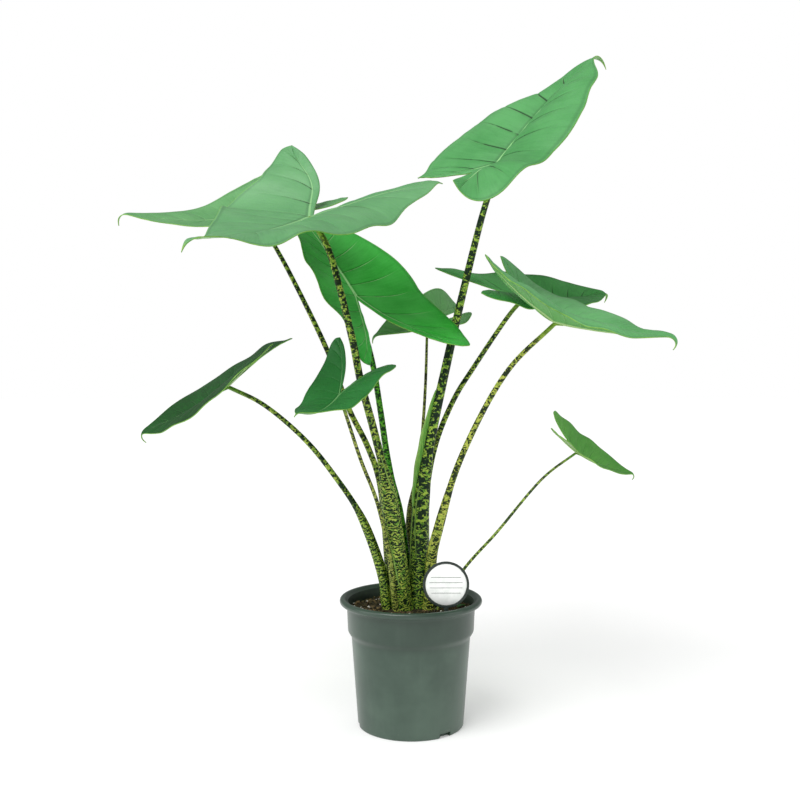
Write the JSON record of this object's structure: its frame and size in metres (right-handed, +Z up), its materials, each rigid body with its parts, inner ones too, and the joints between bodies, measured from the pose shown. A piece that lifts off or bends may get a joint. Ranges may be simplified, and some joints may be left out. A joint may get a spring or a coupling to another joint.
{
  "type": "potted zebrina alocasia",
  "caption": "Potted aroid house plant: arrow-shaped waved leaves on tall zebra-banded stalks that rise from one clump in a round nursery pot of soil, with a blank round tag on a stake.",
  "frame": {"origin": "centre of the pot's base, on the floor", "axes": "+Z up; the plant's front, with the tag at its right, faces -Y; +X to the right"},
  "size_m": [0.8089, 0.4895, 1.0196],
  "materials": {
    "pot": "satin",
    "soil": "matte",
    "corm": "matte",
    "blade": "satin",
    "stalk": "satin",
    "sheath_wing": "matte",
    "tag_frame": "satin",
    "tag_card": "satin"
  },
  "bodies": {
    "root": {"pot": "pot", "soil": "soil", "corm": "corm", "leaf_a_blade": "blade", "leaf_b_blade": "blade", "leaf_c_blade": "blade", "leaf_d_blade": "blade", "leaf_e_blade": "blade", "leaf_f_blade": "blade", "leaf_g_blade": "blade", "leaf_h_blade": "blade", "leaf_i_blade": "blade", "leaf_j_blade": "blade", "leaf_a_stalk": "stalk", "leaf_b_stalk": "stalk", "leaf_c_stalk": "stalk", "leaf_d_stalk": "stalk", "leaf_e_stalk": "stalk", "leaf_f_stalk": "stalk", "leaf_g_stalk": "stalk", "leaf_h_stalk": "stalk", "leaf_i_stalk": "stalk", "leaf_j_stalk": "stalk", "leaf_a_sheath_wing": "sheath_wing", "tag_frame": "tag_frame", "tag_card": "tag_card"}
  },
  "joints": []
}
